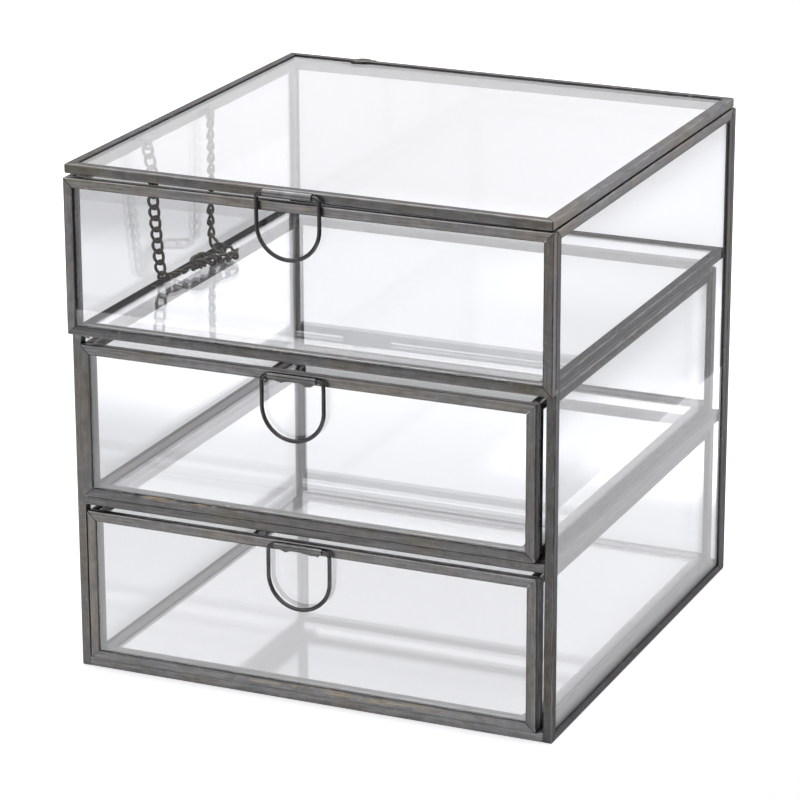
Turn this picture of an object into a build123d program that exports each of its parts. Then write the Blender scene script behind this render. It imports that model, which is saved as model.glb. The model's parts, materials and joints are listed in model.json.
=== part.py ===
"""Glass drawer box: a lidded top compartment over two drawers, all panes framed in U-section metal came.

Millimetres, +Z up, front facing -Y, origin under the middle of the box on the surface that it stands on.
"""
import os
from math import atan, degrees

from build123d import *

os.makedirs("parts", exist_ok=True)

# Came and glass
glass_thick = 2.9
pane_play = 0.05
came_sheet = 0.4
came_face = 3.8
came_bend = 0.6
mitre_gap = 0.16
pane_edge_gap = 0.3
slot_width = glass_thick + 2 * pane_play
came_depth = slot_width + 2 * came_sheet

# Box in plan
box_width = 200.0
box_depth = 205.0

# Heights, from the table up
rail_height = 3.7
drawer_height = 62.1
drawer_lift = 0.4
lower_headroom = 1.9
upper_headroom = 4.2
front_height = 62.4

# Drawers in their bays
drawer_side_play = 3.6
drawer_setback = 2.0
drawer_back_gap = 1.6
upper_drawer_shift = -1.4
lower_drawer_shift = -0.6
runner_ledge = 8.0
runner_sheet = 0.8

# Lid, raised on its left side by the chain lug under it
lid_side_inset = 0.5
lid_front_inset = 0.5
lid_back_inset = 1.5
lid_right_gap = 0.45
lug_rest_gap = 0.3

# Ring pulls
ring_wire = 1.6
ring_width = 27.3
ring_drop = 25.1
ring_corner = 2.4
tube_bore_gap = 0.08
tube_wall = 0.52
tube_length = 20.0
pull_standoff = 0.3
pull_below_top = 1.4
solder_height = 2.0
lid_pull_x = -5.0
upper_pull_x = -4.6
lower_pull_x = -2.8

# Lid hinges
hinge_inset = 35.0
hinge_barrel = 3.0
hinge_pin = 1.4
hinge_pin_gap = 0.05
hinge_gap = 0.2
lid_knuckle_length = 11.6
box_knuckle_length = 5.0
hinge_rise = 1.9
hinge_leaf_thick = 0.8
hinge_leaf_height = 3.0
hinge_web = 1.6

# Chain and the two lugs that hold its ends
chain_wire = 1.0
link_width = 4.6
link_length = 7.4
link_pitch_aim = 4.3
lug_thick = 1.2
lug_width = 9.0
lug_reach = 8.4
eye_tab_width = 3.6
eye_tab_thick = 1.0
eye_tab_drop = 4.4
eye_bore = 2.2
box_lug_sheet = 0.8
lid_lug_back = 55.3
box_lug_back = 113.2
chain_floor_gap = 0.2

# Where the chain lies on the floor: distances from the left side and ahead of the box's lug
chain_foot_in = 4.2
chain_foot_back = 9.9
chain_foot_bend = 6.0
chain_row_in = 7.7
chain_row_ahead = 37.0
chain_row_bend = 10.0
chain_heap_right_in = 19.2
chain_heap_right_ahead = 28.0
chain_heap_left_in = 4.2
chain_heap_left_ahead = 19.0
chain_tail_in = 23.2
chain_tail_ahead = 10.0
chain_fold_bend = 5.0
chain_landing_in = 2.6
chain_landing_bend = 8.0

# Levels worked out from the heights
lower_drawer_bottom = rail_height + drawer_lift
middle_rail_bottom = lower_drawer_bottom + drawer_height + lower_headroom
upper_drawer_bottom = middle_rail_bottom + rail_height + drawer_lift
floor_bottom = upper_drawer_bottom + drawer_height + upper_headroom
floor_top = floor_bottom + came_depth
box_height = floor_bottom + front_height

# Tube and barrel sizes that follow from the wire and the pin, and how far they stand out of the box
tube_bore = ring_wire + 2 * tube_bore_gap
tube_outer = tube_bore + 2 * tube_wall
pull_reach = tube_outer / 2 + pull_standoff
pull_out = pull_reach + tube_outer / 2 - lid_front_inset
hinge_out = hinge_barrel + hinge_gap - lid_back_inset

# Places worked out from the plan
front_y = pull_out - (pull_out + box_depth + hinge_out) / 2
back_y = front_y + box_depth
side_front_y = front_y + came_depth
side_back_y = back_y - came_depth
side_length = side_back_y - side_front_y
bay_width = box_width - 2 * came_depth
side_x = box_width / 2 - came_depth / 2
drawer_width = bay_width - drawer_side_play
drawer_front_y = front_y + drawer_setback
drawer_back_y = side_back_y - drawer_back_gap
drawer_depth = drawer_back_y - drawer_front_y

# The lid's size, slope and plane
lid_width = box_width - 2 * lid_side_inset
lid_front_y = front_y + lid_front_inset
lid_back_y = back_y - lid_back_inset
lid_depth = lid_back_y - lid_front_y
lid_left_gap = lug_thick + lug_rest_gap
lid_slope = (lid_left_gap - lid_right_gap) / lid_width
lid_roll = degrees(atan(lid_slope))
lid_mid_z = box_height + (lid_left_gap + lid_right_gap) / 2 + came_depth / 2
lid_mid_y = (lid_front_y + lid_back_y) / 2
lid_plane = Plane((0, lid_mid_y, lid_mid_z)).rotated((0, lid_roll, 0))

# The hinges' axis and the places of the lugs
hinge_x = box_width / 2 - hinge_inset
hinge_y = lid_back_y + hinge_barrel / 2 + hinge_gap
hinge_z = box_height + hinge_rise
knuckle_step = lid_knuckle_length / 2 + hinge_gap + box_knuckle_length / 2
lid_lug_y = lid_front_y + lid_lug_back
box_lug_y = front_y + box_lug_back


def keep(piece, label):
    """Labels a finished piece and writes its file."""
    piece.part.label = label
    export_step(piece.part, f"parts/{label}.step")


def facing_y(x, y, z):
    """A plane for an upright pane that faces the front, with its local Y up."""
    return Plane((x, y, z), x_dir=(1, 0, 0), z_dir=(0, -1, 0))


def facing_x(x, y, z):
    """A plane for an upright pane at the side, with its local Y up."""
    return Plane((x, y, z), x_dir=(0, 1, 0), z_dir=(1, 0, 0))


def came_frame(frame, width, height):
    """Four mitred lengths of U-section came, in the plane of the frame being built."""
    Box(width, height, came_depth)
    fillet(frame.edges(), radius=came_bend)
    Box(width - 2 * came_face, height - 2 * came_face, came_depth, mode=Mode.SUBTRACT)
    Box(width - 2 * came_sheet, height - 2 * came_sheet, slot_width, mode=Mode.SUBTRACT)
    mitre_length = 3 * came_face
    with Locations((width / 2, height / 2), (-width / 2, -height / 2)):
        Box(mitre_length, mitre_gap, came_depth, rotation=(0, 0, 45), mode=Mode.SUBTRACT)
    with Locations((width / 2, -height / 2), (-width / 2, height / 2)):
        Box(mitre_length, mitre_gap, came_depth, rotation=(0, 0, -45), mode=Mode.SUBTRACT)


def framed_pane(plane, width, height, frame_label, glass_label):
    """One pane of glass and the came frame round its edges."""
    with BuildPart(plane) as frame:
        came_frame(frame, width, height)
    keep(frame, frame_label)
    pane_margin = 2 * (came_sheet + pane_edge_gap)
    with BuildPart(plane) as pane:
        Box(width - pane_margin, height - pane_margin, glass_thick)
    keep(pane, glass_label)


def ring_path(half_width, corner):
    """The closed line of a D ring: straight top in the tube, two legs and a round bottom."""
    with BuildLine(Plane.XZ) as path:
        top = Line((-half_width + corner, 0), (half_width - corner, 0))
        right_corner = JernArc(top @ 1, top % 1, corner, -90)
        right_leg = Line(right_corner @ 1, (half_width, half_width - ring_drop))
        bottom = JernArc(right_leg @ 1, right_leg % 1, half_width, -180)
        left_leg = Line(bottom @ 1, (-half_width, -corner))
        JernArc(left_leg @ 1, left_leg % 1, corner, -90)
    return path.wire()


def ring_pull(x, face_y, top_z, name):
    """A ring of wire, the tube it swings in and the solder that holds the tube on a rail's face."""
    axis_y = face_y - pull_reach
    axis_z = top_z - pull_below_top
    tube_plane = Plane((x, axis_y, axis_z), x_dir=(0, 1, 0), z_dir=(1, 0, 0))
    with BuildPart(tube_plane) as tube:
        Cylinder(tube_outer / 2, tube_length)
        Cylinder(tube_bore / 2, tube_length, mode=Mode.SUBTRACT)
    keep(tube, f"{name}_pull_tube")
    with BuildPart(tube_plane) as solder:
        with Locations((pull_reach / 2, 0, 0)):
            Box(pull_reach, solder_height, tube_length - tube_outer)
        Cylinder(tube_outer / 2, tube_length, mode=Mode.SUBTRACT)
    keep(solder, f"{name}_pull_solder")
    path = ring_path((ring_width - ring_wire) / 2, ring_corner)
    path = path.moved(Location((x, axis_y, axis_z)))
    with BuildPart() as ring:
        with BuildSketch(Plane(path @ 0, z_dir=path % 0)) as section:
            Circle(ring_wire / 2)
        sweep(section.sketch, path=path)
    keep(ring, f"{name}_ring")


def drawer(name, bottom_z, shift, pull_x):
    """A drawer of five framed panes: front and back across the sides, and the bottom between all four."""
    mid_z = bottom_z + drawer_height / 2
    inner_length = drawer_depth - 2 * came_depth
    inner_width = drawer_width - 2 * came_depth
    mid_y = drawer_front_y + drawer_depth / 2
    front_plane = facing_y(shift, drawer_front_y + came_depth / 2, mid_z)
    front_label = f"{name}_drawer_front"
    framed_pane(front_plane, drawer_width, drawer_height, f"{front_label}_frame", f"{front_label}_glass")
    back_plane = facing_y(shift, drawer_back_y - came_depth / 2, mid_z)
    back_label = f"{name}_drawer_back"
    framed_pane(back_plane, drawer_width, drawer_height, f"{back_label}_frame", f"{back_label}_glass")
    for side, sign in (("left", -1), ("right", 1)):
        side_plane = facing_x(shift + sign * (drawer_width - came_depth) / 2, mid_y, mid_z)
        side_label = f"{name}_drawer_{side}"
        framed_pane(side_plane, inner_length, drawer_height, f"{side_label}_frame", f"{side_label}_glass")
    bottom_plane = Plane((shift, mid_y, bottom_z + came_depth / 2))
    bottom_label = f"{name}_drawer_bottom"
    framed_pane(bottom_plane, inner_width, inner_length, f"{bottom_label}_frame", f"{bottom_label}_glass")
    ring_pull(pull_x, drawer_front_y, bottom_z + drawer_height, f"{name}_drawer")


def cross_rail(bottom_z, label):
    """A rail of U-section across the front, between the two sides, open to the back."""
    centre = Plane((0, side_front_y + came_depth / 2, bottom_z + rail_height / 2))
    with BuildPart(centre) as rail:
        Box(bay_width, came_depth, rail_height)
        fillet(rail.edges().filter_by(Axis.X), radius=came_bend)
        with Locations((0, came_sheet, 0)):
            Box(bay_width, came_depth, rail_height - 2 * came_sheet, mode=Mode.SUBTRACT)
    keep(rail, label)


def runner(sign, bottom_z, label):
    """An angle along one side that a drawer's side slides on."""
    start_y = side_front_y + came_depth
    length = side_back_y - start_y
    corner = Plane((sign * bay_width / 2, start_y + length / 2, bottom_z + rail_height))
    with BuildPart(corner) as angle:
        with Locations((-sign * runner_ledge / 2, 0, -runner_sheet / 2)):
            Box(runner_ledge, length, runner_sheet)
        with Locations((-sign * runner_sheet / 2, 0, -rail_height / 2)):
            Box(runner_sheet, length, rail_height)
    keep(angle, label)


def hinge(sign, side):
    """A butt hinge at the back: a leaf with two knuckles on the box, one knuckle on the lid, and the pin."""
    axis_plane = Plane((sign * hinge_x, hinge_y, hinge_z), x_dir=(0, 1, 0), z_dir=(1, 0, 0))
    hinge_length = 2 * knuckle_step + box_knuckle_length
    bore = hinge_pin + 2 * hinge_pin_gap
    leaf_top = box_height - came_bend
    arm_height = hinge_z - leaf_top
    with BuildPart() as leaf:
        with Locations((sign * hinge_x, back_y + hinge_leaf_thick / 2, leaf_top - hinge_leaf_height / 2)):
            Box(hinge_length, hinge_leaf_thick, hinge_leaf_height)
        for step in (-knuckle_step, knuckle_step):
            with Locations((sign * hinge_x + step, back_y + hinge_leaf_thick / 2, leaf_top + arm_height / 2)):
                Box(box_knuckle_length, hinge_leaf_thick, arm_height)
        with Locations(axis_plane.offset(-knuckle_step), axis_plane.offset(knuckle_step)):
            Cylinder(hinge_barrel / 2, box_knuckle_length)
        with Locations(axis_plane):
            Cylinder(bore / 2, hinge_length, mode=Mode.SUBTRACT)
    keep(leaf, f"{side}_hinge_leaf")
    with BuildPart(axis_plane) as knuckle:
        Cylinder(hinge_barrel / 2, lid_knuckle_length)
        with Locations(((lid_back_y - hinge_y) / 2, 0, 0)):
            Box(hinge_y - lid_back_y, hinge_web, lid_knuckle_length)
        Cylinder(bore / 2, lid_knuckle_length, mode=Mode.SUBTRACT)
    keep(knuckle, f"{side}_lid_knuckle")
    with BuildPart(axis_plane) as pin:
        Cylinder(hinge_pin / 2, hinge_length)
    keep(pin, f"{side}_hinge_pin")


def link_places(route, count, half_length):
    """Planes along the chain's route, each turned a quarter from the last, with local Z along the chain."""
    pitch = (route.length - 2 * half_length) / (count - 1)
    across = Vector(1, 0, 0)
    places = []
    for index in range(count):
        distance = half_length + index * pitch
        along = route.tangent_at(distance, position_mode=PositionMode.LENGTH)
        across = (across - along * across.dot(along)).normalized()
        centre = route.position_at(distance, position_mode=PositionMode.LENGTH)
        flat_dir = across if index % 2 else along.cross(across)
        places.append(Plane(centre, x_dir=flat_dir, z_dir=along))
    return places


# Top compartment: front pane, then the floor between the four sides
front_plane = facing_y(0, front_y + came_depth / 2, floor_bottom + front_height / 2)
framed_pane(front_plane, box_width, front_height, "front_frame", "front_glass")
floor_plane = Plane((0, (side_front_y + side_back_y) / 2, floor_bottom + came_depth / 2))
framed_pane(floor_plane, bay_width, side_length, "floor_frame", "floor_glass")

# Full-height sides and back
for side, sign in (("left", -1), ("right", 1)):
    side_plane = facing_x(sign * side_x, (side_front_y + side_back_y) / 2, box_height / 2)
    framed_pane(side_plane, side_length, box_height, f"{side}_side_frame", f"{side}_side_glass")
back_plane = facing_y(0, back_y - came_depth / 2, box_height / 2)
framed_pane(back_plane, box_width, box_height, "back_frame", "back_glass")

# Rails across the front and the runners behind them
cross_rail(0, "base_rail")
cross_rail(middle_rail_bottom, "middle_rail")
for side, sign in (("left", -1), ("right", 1)):
    runner(sign, 0, f"{side}_lower_runner")
    runner(sign, middle_rail_bottom, f"{side}_upper_runner")

# Drawers
drawer("lower", lower_drawer_bottom, lower_drawer_shift, lower_pull_x)
drawer("upper", upper_drawer_bottom, upper_drawer_shift, upper_pull_x)

# Lid with its pull and hinges
framed_pane(lid_plane, lid_width, lid_depth, "lid_frame", "lid_glass")
lid_top_at_pull = lid_mid_z + came_depth / 2 - lid_pull_x * lid_slope
ring_pull(lid_pull_x, lid_front_y, lid_top_at_pull, "lid")
hinge(-1, "left")
hinge(1, "right")

# Lug folded under the lid's left rail, with an eye for the chain
lug_edge_x = came_bend - lid_width / 2
eye_x = lug_edge_x + lug_reach - eye_tab_width / 2
eye_down = came_depth / 2 + lug_thick
with BuildPart(lid_plane) as lid_lug:
    with Locations((lug_edge_x + lug_reach / 2, lid_lug_y - lid_mid_y, -came_depth / 2 - lug_thick / 2)):
        Box(lug_reach, lug_width, lug_thick)
    with Locations((eye_x, lid_lug_y - lid_mid_y, -eye_down - eye_tab_drop / 2)):
        Box(eye_tab_width, eye_tab_thick, eye_tab_drop)
    with Locations((eye_x, lid_lug_y - lid_mid_y, -eye_down - eye_tab_drop / 2)):
        Cylinder(eye_bore / 2, eye_tab_thick, rotation=(90, 0, 0), mode=Mode.SUBTRACT)
keep(lid_lug, "chain_lid_lug")

# Lug on the inside of the left side's top rail, with an eye for the other end
box_lug_z = box_height - came_face / 2
box_lug_x = -bay_width / 2
with BuildPart() as box_lug:
    with Locations((box_lug_x + box_lug_sheet / 2, box_lug_y, box_lug_z)):
        Box(box_lug_sheet, lug_width, came_face - 2 * came_bend)
    with Locations((box_lug_x + box_lug_sheet + eye_tab_width / 2, box_lug_y, box_lug_z - came_face / 4)):
        Box(eye_tab_width, eye_tab_thick, eye_tab_drop)
    with Locations((box_lug_x + box_lug_sheet + eye_tab_width / 2, box_lug_y, box_lug_z - came_face / 4)):
        Cylinder(eye_bore / 2, eye_tab_thick, rotation=(90, 0, 0), mode=Mode.SUBTRACT)
keep(box_lug, "chain_box_lug")

# Chain: down from the lid's eye, along the floor in a loose fold, and up to the box's eye
lid_eye = lid_plane.from_local_coords(Vector(eye_x, lid_lug_y - lid_mid_y, -eye_down - eye_tab_drop / 2))
box_eye = Vector(box_lug_x + box_lug_sheet + eye_tab_width / 2, box_lug_y, box_lug_z - came_face / 4)
chain_z = floor_top + link_width / 2 + chain_floor_gap
chain_points = [
    lid_eye,
    Vector(box_lug_x + chain_foot_in, lid_lug_y + chain_foot_back, chain_z),
    Vector(box_lug_x + chain_row_in, box_lug_y - chain_row_ahead, chain_z),
    Vector(box_lug_x + chain_heap_right_in, box_lug_y - chain_heap_right_ahead, chain_z),
    Vector(box_lug_x + chain_heap_left_in, box_lug_y - chain_heap_left_ahead, chain_z),
    Vector(box_lug_x + chain_tail_in, box_lug_y - chain_tail_ahead, chain_z),
    Vector(box_lug_x + chain_landing_in, box_lug_y, chain_z),
    box_eye,
]
chain_radii = [chain_foot_bend, chain_row_bend] + 3 * [chain_fold_bend] + [chain_landing_bend]
with BuildLine() as chain_line:
    FilletPolyline(*chain_points, radius=chain_radii)
chain_route = chain_line.wire()
link_half_path = (link_length - chain_wire) / 2
link_radius = (link_width - chain_wire) / 2
link_straight = link_length - link_width
with BuildPart() as link:
    with BuildLine(Plane.XZ) as oval:
        right_run = Line((link_radius, -link_straight / 2), (link_radius, link_straight / 2))
        top_bend = JernArc(right_run @ 1, right_run % 1, link_radius, 180)
        left_run = Line(top_bend @ 1, (-link_radius, -link_straight / 2))
        JernArc(left_run @ 1, left_run % 1, link_radius, 180)
    with BuildSketch(Plane((link_radius, 0, -link_straight / 2))) as oval_section:
        Circle(chain_wire / 2)
    sweep(oval_section.sketch, path=oval.wire())
link_count = 2 * round((chain_route.length / link_pitch_aim - 1) / 2) + 1
with BuildPart() as chain:
    with Locations(*link_places(chain_route, link_count, link_half_path)):
        add(link.part)
keep(chain, "chain")
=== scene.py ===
"""Looks of the glass drawer box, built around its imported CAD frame."""
import json
import math

import bpy
import bmesh
from mathutils import Matrix, Vector, noise as solid_noise


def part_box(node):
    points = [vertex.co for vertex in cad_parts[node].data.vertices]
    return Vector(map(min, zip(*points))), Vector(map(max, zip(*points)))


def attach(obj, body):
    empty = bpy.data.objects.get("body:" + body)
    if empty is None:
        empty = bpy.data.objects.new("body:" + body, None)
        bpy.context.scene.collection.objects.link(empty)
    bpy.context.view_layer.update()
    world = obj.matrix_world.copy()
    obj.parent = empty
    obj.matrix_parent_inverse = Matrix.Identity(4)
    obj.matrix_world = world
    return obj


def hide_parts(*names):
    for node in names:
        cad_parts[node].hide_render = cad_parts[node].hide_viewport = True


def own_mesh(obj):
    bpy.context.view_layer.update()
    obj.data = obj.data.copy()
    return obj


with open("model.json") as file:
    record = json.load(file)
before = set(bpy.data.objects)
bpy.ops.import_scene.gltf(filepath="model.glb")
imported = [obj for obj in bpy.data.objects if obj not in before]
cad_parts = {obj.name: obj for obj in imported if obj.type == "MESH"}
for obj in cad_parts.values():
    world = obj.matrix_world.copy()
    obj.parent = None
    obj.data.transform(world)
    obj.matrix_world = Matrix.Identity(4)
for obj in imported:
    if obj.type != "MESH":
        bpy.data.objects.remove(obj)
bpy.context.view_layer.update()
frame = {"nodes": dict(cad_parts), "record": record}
record = frame["record"]
MM = 0.001


def mm(*values):
    """A point or size in millimetres, as metres."""
    return Vector(values) * MM


# Node helpers
def plug(tree, value, socket):
    """Gives an input socket a link, where value is a socket, or a plain value."""
    if isinstance(value, bpy.types.NodeSocket):
        tree.links.new(value, socket)
    elif value is not None:
        socket.default_value = value


def calc(tree, operation, a, b=None, c=None, clamp=False):
    """One step of arithmetic on up to three values or sockets."""
    node = tree.nodes.new("ShaderNodeMath")
    node.operation = operation
    node.use_clamp = clamp
    for socket, value in zip(node.inputs, (a, b, c)):
        plug(tree, value, socket)
    return node.outputs[0]


def times(tree, *values):
    """The product of several values or sockets."""
    product = values[0]
    for value in values[1:]:
        product = calc(tree, "MULTIPLY", product, value)
    return product


def weigh(tree, *pairs):
    """Adds up values times their masks."""
    total = 0.0
    for value, mask in pairs:
        total = calc(tree, "ADD", total, times(tree, mask, value))
    return total


def invert(tree, mask):
    """One minus a mask."""
    return calc(tree, "SUBTRACT", 1.0, mask)


def lift(tree, mask, amount):
    """A factor of one, changed by an amount where the mask is."""
    return calc(tree, "MULTIPLY_ADD", mask, amount, 1.0)


def calc_vector(tree, operation, a, b=None, output=0):
    """One step of vector arithmetic."""
    node = tree.nodes.new("ShaderNodeVectorMath")
    node.operation = operation
    plug(tree, a, node.inputs[0])
    plug(tree, b, node.inputs[1])
    return node.outputs[output]


def length_of(tree, vector):
    """How long a vector is."""
    return calc_vector(tree, "LENGTH", vector, output=1)


def fade(tree, value, low, high, to_low=0.0, to_high=1.0):
    """Maps a value between two levels smoothly on to a clamped range."""
    node = tree.nodes.new("ShaderNodeMapRange")
    node.interpolation_type = "SMOOTHSTEP"
    levels = (("From Min", low), ("From Max", high), ("To Min", to_low), ("To Max", to_high))
    for name, level in levels:
        node.inputs[name].default_value = level
    plug(tree, value, node.inputs["Value"])
    return node.outputs[0]


def near(tree, distance, inner, outer):
    """One up to the inner distance, and nothing past the outer one."""
    return fade(tree, distance, inner, outer, 1.0, 0.0)


def mottle(tree, coords, scale, detail, roughness=0.55):
    """Noise with so many cells to the metre."""
    node = tree.nodes.new("ShaderNodeTexNoise")
    node.inputs["Scale"].default_value = scale
    node.inputs["Detail"].default_value = detail
    node.inputs["Roughness"].default_value = roughness
    plug(tree, coords, node.inputs["Vector"])
    return node.outputs[0]


def mix(tree, factor, a, b, blend="MIX"):
    """Blends two colours, which are sockets 6 and 7 of a Mix node."""
    node = tree.nodes.new("ShaderNodeMix")
    node.data_type = "RGBA"
    node.blend_type = blend
    plug(tree, factor, node.inputs[0])
    plug(tree, a, node.inputs[6])
    plug(tree, b, node.inputs[7])
    return node.outputs[2]


def tint(tree, colour, shade):
    """A colour times another."""
    return mix(tree, 1.0, colour, shade, "MULTIPLY")


def split_axes(tree, vector):
    """The sockets of a vector's three parts."""
    node = tree.nodes.new("ShaderNodeSeparateXYZ")
    plug(tree, vector, node.inputs[0])
    return node.outputs


def add_sockets(tree, in_out, names_by_kind):
    """Gives a tree its named sockets, and gives back their identifiers."""
    identifiers = {}
    for kind, names in names_by_kind.items():
        for name in names:
            socket = tree.interface.new_socket(name, in_out=in_out, socket_type="NodeSocket" + kind)
            identifiers[name] = socket.identifier
    return identifiers


def new_group(name, inputs, outputs):
    """An empty shader node group, and the sockets of its two end nodes."""
    group = bpy.data.node_groups.new(name, "ShaderNodeTree")
    add_sockets(group, "INPUT", inputs)
    add_sockets(group, "OUTPUT", outputs)
    given = group.nodes.new("NodeGroupInput").outputs
    return group, given, group.nodes.new("NodeGroupOutput").inputs


# Places on a frame of came: its face is so wide, and its bend, lip and mitre reach so far
CAME_FACE = 3.8 * MM
BEND_REACH = (0.35 * MM, 0.8 * MM)
LIP_REACH = (0.15 * MM, 0.55 * MM)
MITRE_REACH = (0.12 * MM, 0.32 * MM)
# Streaks are so many times longer than wide, and each length has its own part of their pattern
STREAK_RATIO = 26.0
STREAK_SHIFT, LEVEL_SHIFTS = 0.31, 2.3
PATINA_AND_LIGHT_TONE_NAMES = ("Low Tone", "High Tone", "First Tone", "Second Tone")


def came_lengths_group():
    """Where a point lies on a mitred frame: along a length, and near a bend, a mitre or the lip."""
    group, given, result = new_group(
        "came_lengths",
        {"Float": ("A", "B", "W", "Half A", "Half B", "Half W", *PATINA_AND_LIGHT_TONE_NAMES)},
        {"Vector": ("Lengthwise",), "Float": ("Bend", "Lip", "Crown", "Mitre", "Patina And Painted Light")})
    in_a, in_b, in_w = (
        calc(group, "SUBTRACT", given["Half " + letter], calc(group, "ABSOLUTE", given[letter]))
        for letter in "ABW")
    upright = calc(group, "LESS_THAN", in_a, in_b)
    level = invert(group, upright)
    across = calc(group, "MINIMUM", in_a, in_b)

    along = calc(group, "ADD", times(group, given["A"], level), times(group, given["B"], upright))
    side_a = times(group, calc(group, "SIGN", given["A"]), upright)
    side_b = times(group, calc(group, "SIGN", given["B"]), level, LEVEL_SHIFTS)
    own_part = times(group, calc(group, "ADD", side_a, side_b), STREAK_SHIFT)
    spread = group.nodes.new("ShaderNodeCombineXYZ")
    plug(group, calc(group, "ADD", along, own_part), spread.inputs["X"])
    plug(group, times(group, across, STREAK_RATIO), spread.inputs["Y"])
    plug(group, times(group, given["W"], STREAK_RATIO), spread.inputs["Z"])
    plug(group, spread.outputs[0], result["Lengthwise"])

    squares = calc(group, "ADD", times(group, across, across), times(group, in_w, in_w))
    plug(group, near(group, calc(group, "SQRT", squares), *BEND_REACH), result["Bend"])
    from_lip = calc(group, "ABSOLUTE", calc(group, "SUBTRACT", across, CAME_FACE))
    plug(group, near(group, from_lip, *LIP_REACH), result["Lip"])
    from_mitre = calc(group, "ABSOLUTE", calc(group, "SUBTRACT", in_a, in_b))
    plug(group, near(group, from_mitre, *MITRE_REACH), result["Mitre"])

    off_middle = calc(group, "MULTIPLY_ADD", across, 2 / CAME_FACE, -1.0)
    off_edge = calc(group, "DIVIDE", given["W"], given["Half W"])
    hollow = calc(group, "ADD", times(group, off_middle, off_middle), times(group, off_edge, off_edge))
    plug(group, calc(group, "SUBTRACT", 2.0, hollow), result["Crown"])

    # Each length's tone is partly its patina and partly painted light and shade, lighter or darker by
    # where light falls
    high, second = (calc(group, "GREATER_THAN", given[letter], 0.0) for letter in "BA")
    shares = (times(group, level, invert(group, high)), times(group, level, high),
              times(group, upright, invert(group, second)), times(group, upright, second))
    patina_and_light_tones = (given[name] for name in PATINA_AND_LIGHT_TONE_NAMES)
    plug(group, weigh(group, *zip(patina_and_light_tones, shares)), result["Patina And Painted Light"])
    return group


# Patina: the levels of noise between which each kind of mark fades in
STREAK_LEVELS, STAIN_LEVELS, BEND_HIGHLIGHT_LEVELS = (0.42, 0.98), (0.42, 0.66), (0.35, 0.6)
SPECK_LEVELS, SPECK_AREA_LEVELS = (0.57, 0.68), (0.47, 0.62)
RUBBED_LEVELS, RUB_REACH = (0.42, 0.6), (0.45, 1.0)
BRASS_LEVELS, BRASS_AREA_LEVELS, BRASS_STREAK_LEVELS = (0.6, 0.68), (0.5, 0.6), (0.5, 0.64)
# Its fixed colours, among them a painted shade for the lip and a painted highlight for the bends, and how
# strong each mark is
DARK_STREAK, PALE_STREAK = (0.66, 0.65, 0.64, 1), (1.34, 1.36, 1.4, 1)
LIP_PAINTED_SHADE, MITRE_SHADOW = (0.03, 0.03, 0.03, 1), (0.02, 0.02, 0.02, 1)
PAINTED_BEND_HIGHLIGHT = (0.5, 0.49, 0.47, 1)
DRAWN_SHARE, PATCH_SHARE = 0.9, 0.5
LIP_PAINTED_SHADE_SHARE, MITRE_SHARE, RUBBED_SHARE, BRASS_STREAK_SHARE = 0.5, 0.75, 0.75, 0.75
BRASS_AT_LIP, BRASS_ELSEWHERE = 1.6, 0.25
PATCH_ROUGHNESS, POLISH = 0.3, -0.1
GRAIN_HEIGHT, STREAK_HEIGHT, PATCH_HEIGHT, CROWN_HEIGHT = 0.25, 0.5, 0.35, 4.5


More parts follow.
